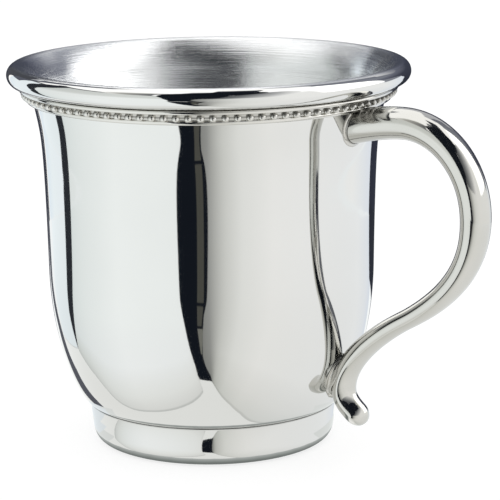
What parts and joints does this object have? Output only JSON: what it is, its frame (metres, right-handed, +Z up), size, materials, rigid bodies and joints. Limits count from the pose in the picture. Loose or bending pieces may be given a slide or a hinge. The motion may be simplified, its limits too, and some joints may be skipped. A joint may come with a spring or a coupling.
{
  "type": "baby cup",
  "caption": "Small footed drinking cup with a rolled lip, a beaded border, a bell-shaped bowl, a drum foot and a cast S-scroll side handle.",
  "frame": {"origin": "on the table under the middle of the whole object, handle included; the cup's axis stands 10.1 mm to the -X side of it", "axes": "+X from the cup towards the handle, +Y across, +Z up"},
  "size_m": [0.0902, 0.07, 0.067],
  "materials": {
    "polished_pewter": "mirror polished outside, brushed satin inside the bowl",
    "cast_pewter": "cast and buffed bright",
    "tin_solder": "soft bright solder"
  },
  "bodies": {
    "root": {"cup_body": "polished_pewter", "bead_band": "cast_pewter", "foot_ring": "polished_pewter", "foot_solder_ring": "tin_solder", "handle": "cast_pewter", "handle_upper_solder": "tin_solder", "handle_lower_solder": "tin_solder"}
  },
  "joints": []
}
